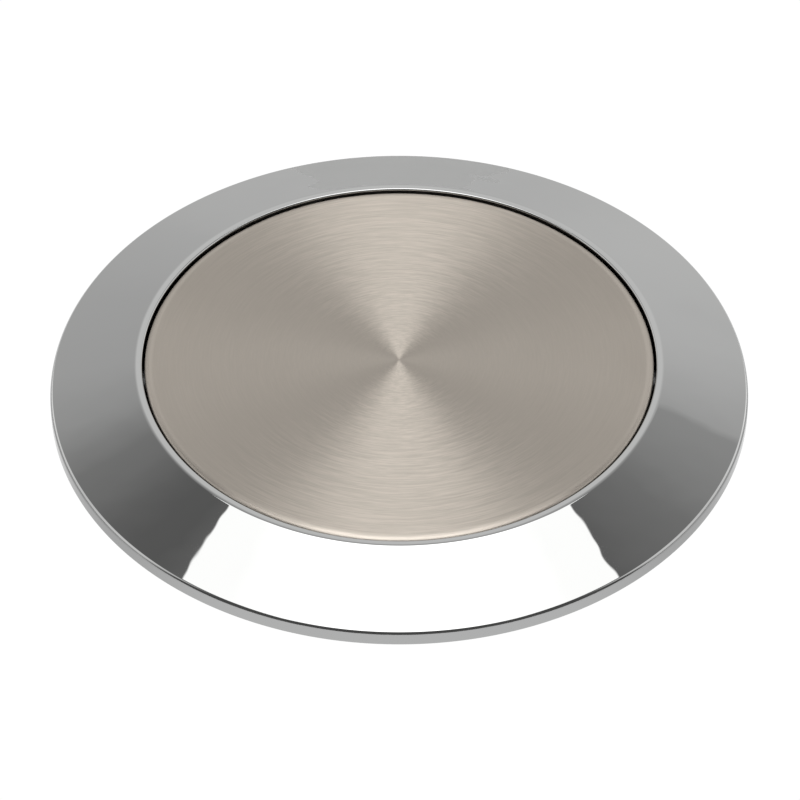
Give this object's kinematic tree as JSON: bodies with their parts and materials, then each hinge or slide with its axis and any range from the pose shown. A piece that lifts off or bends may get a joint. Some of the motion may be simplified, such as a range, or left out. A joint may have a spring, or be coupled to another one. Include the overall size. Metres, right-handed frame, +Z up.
{
  "type": "desk grommet",
  "caption": "Round desk grommet with a bevelled polished ring and a brushed flush lid that tilts when pressed, on a threaded sleeve with a clamping ring nut.",
  "frame": {"origin": "centre of the bezel's underside, in the plane that rests on the desk top", "axes": "+Z up out of the desk; X along the lid's pivot; -Y the front, where the lid is pressed"},
  "size_m": [0.096, 0.096, 0.0426],
  "materials": {
    "chrome": "bright chromium plate, mirror polished",
    "brushed_steel": "stainless steel, brushed in circles",
    "black_plastic": "moulded, fine spark-eroded texture",
    "ground_steel": "ground steel",
    "acetal": "black acetal, satin",
    "spring_steel": "drawn spring wire",
    "zinc_steel": "bright zinc plate",
    "black_steel": "blackened steel, oiled",
    "rubber": "matt moulded rubber",
    "foam": "closed-cell foam, matt"
  },
  "bodies": {
    "housing": {"bezel_ring": "chrome", "bezel_screws": "zinc_steel", "desk_gasket": "foam", "sleeve": "black_plastic", "pivot_bush_right": "acetal", "pivot_bush_left": "acetal", "return_spring_right": "spring_steel", "return_spring_left": "spring_steel", "close_bumper_right": "rubber", "close_bumper_left": "rubber", "open_bumper_right": "rubber", "open_bumper_left": "rubber"},
    "lid": {"lid_disc": "brushed_steel", "lid_adhesive_pad": "foam", "lid_carrier": "black_plastic", "pivot_pin_right": "ground_steel", "pivot_pin_left": "ground_steel", "pin_set_screw_right": "black_steel", "pin_set_screw_left": "black_steel"},
    "clamp": {"grip_pad": "rubber", "clamp_washer": "black_plastic"},
    "nut": {"ring_nut": "black_plastic"}
  },
  "joints": [
    {"name": "lid_tilt", "type": "hinge", "parent": "housing", "child": "lid", "pos_m": [0, 0, 0.0012], "axis": [1, 0, 0], "range_deg": [0, 85], "stiffness_Nm_per_rad": 0.02, "springref_deg": -45.84, "deforming": ["return_spring_right", "return_spring_left"]},
    {"name": "clamp_travel", "type": "slide", "parent": "housing", "child": "clamp", "axis": [0, 0, 1], "range_m": [-0.0271, 0.0091]},
    {"name": "nut_spin", "type": "hinge", "parent": "clamp", "child": "nut", "pos_m": [0, 0, 0], "axis": [0, 0, 1], "range_deg": [-2430, 810]}
  ],
  "couplings": [
    {"joint": "clamp_travel", "follows": "nut_spin", "m_per_rad": 0.00063662}
  ]
}
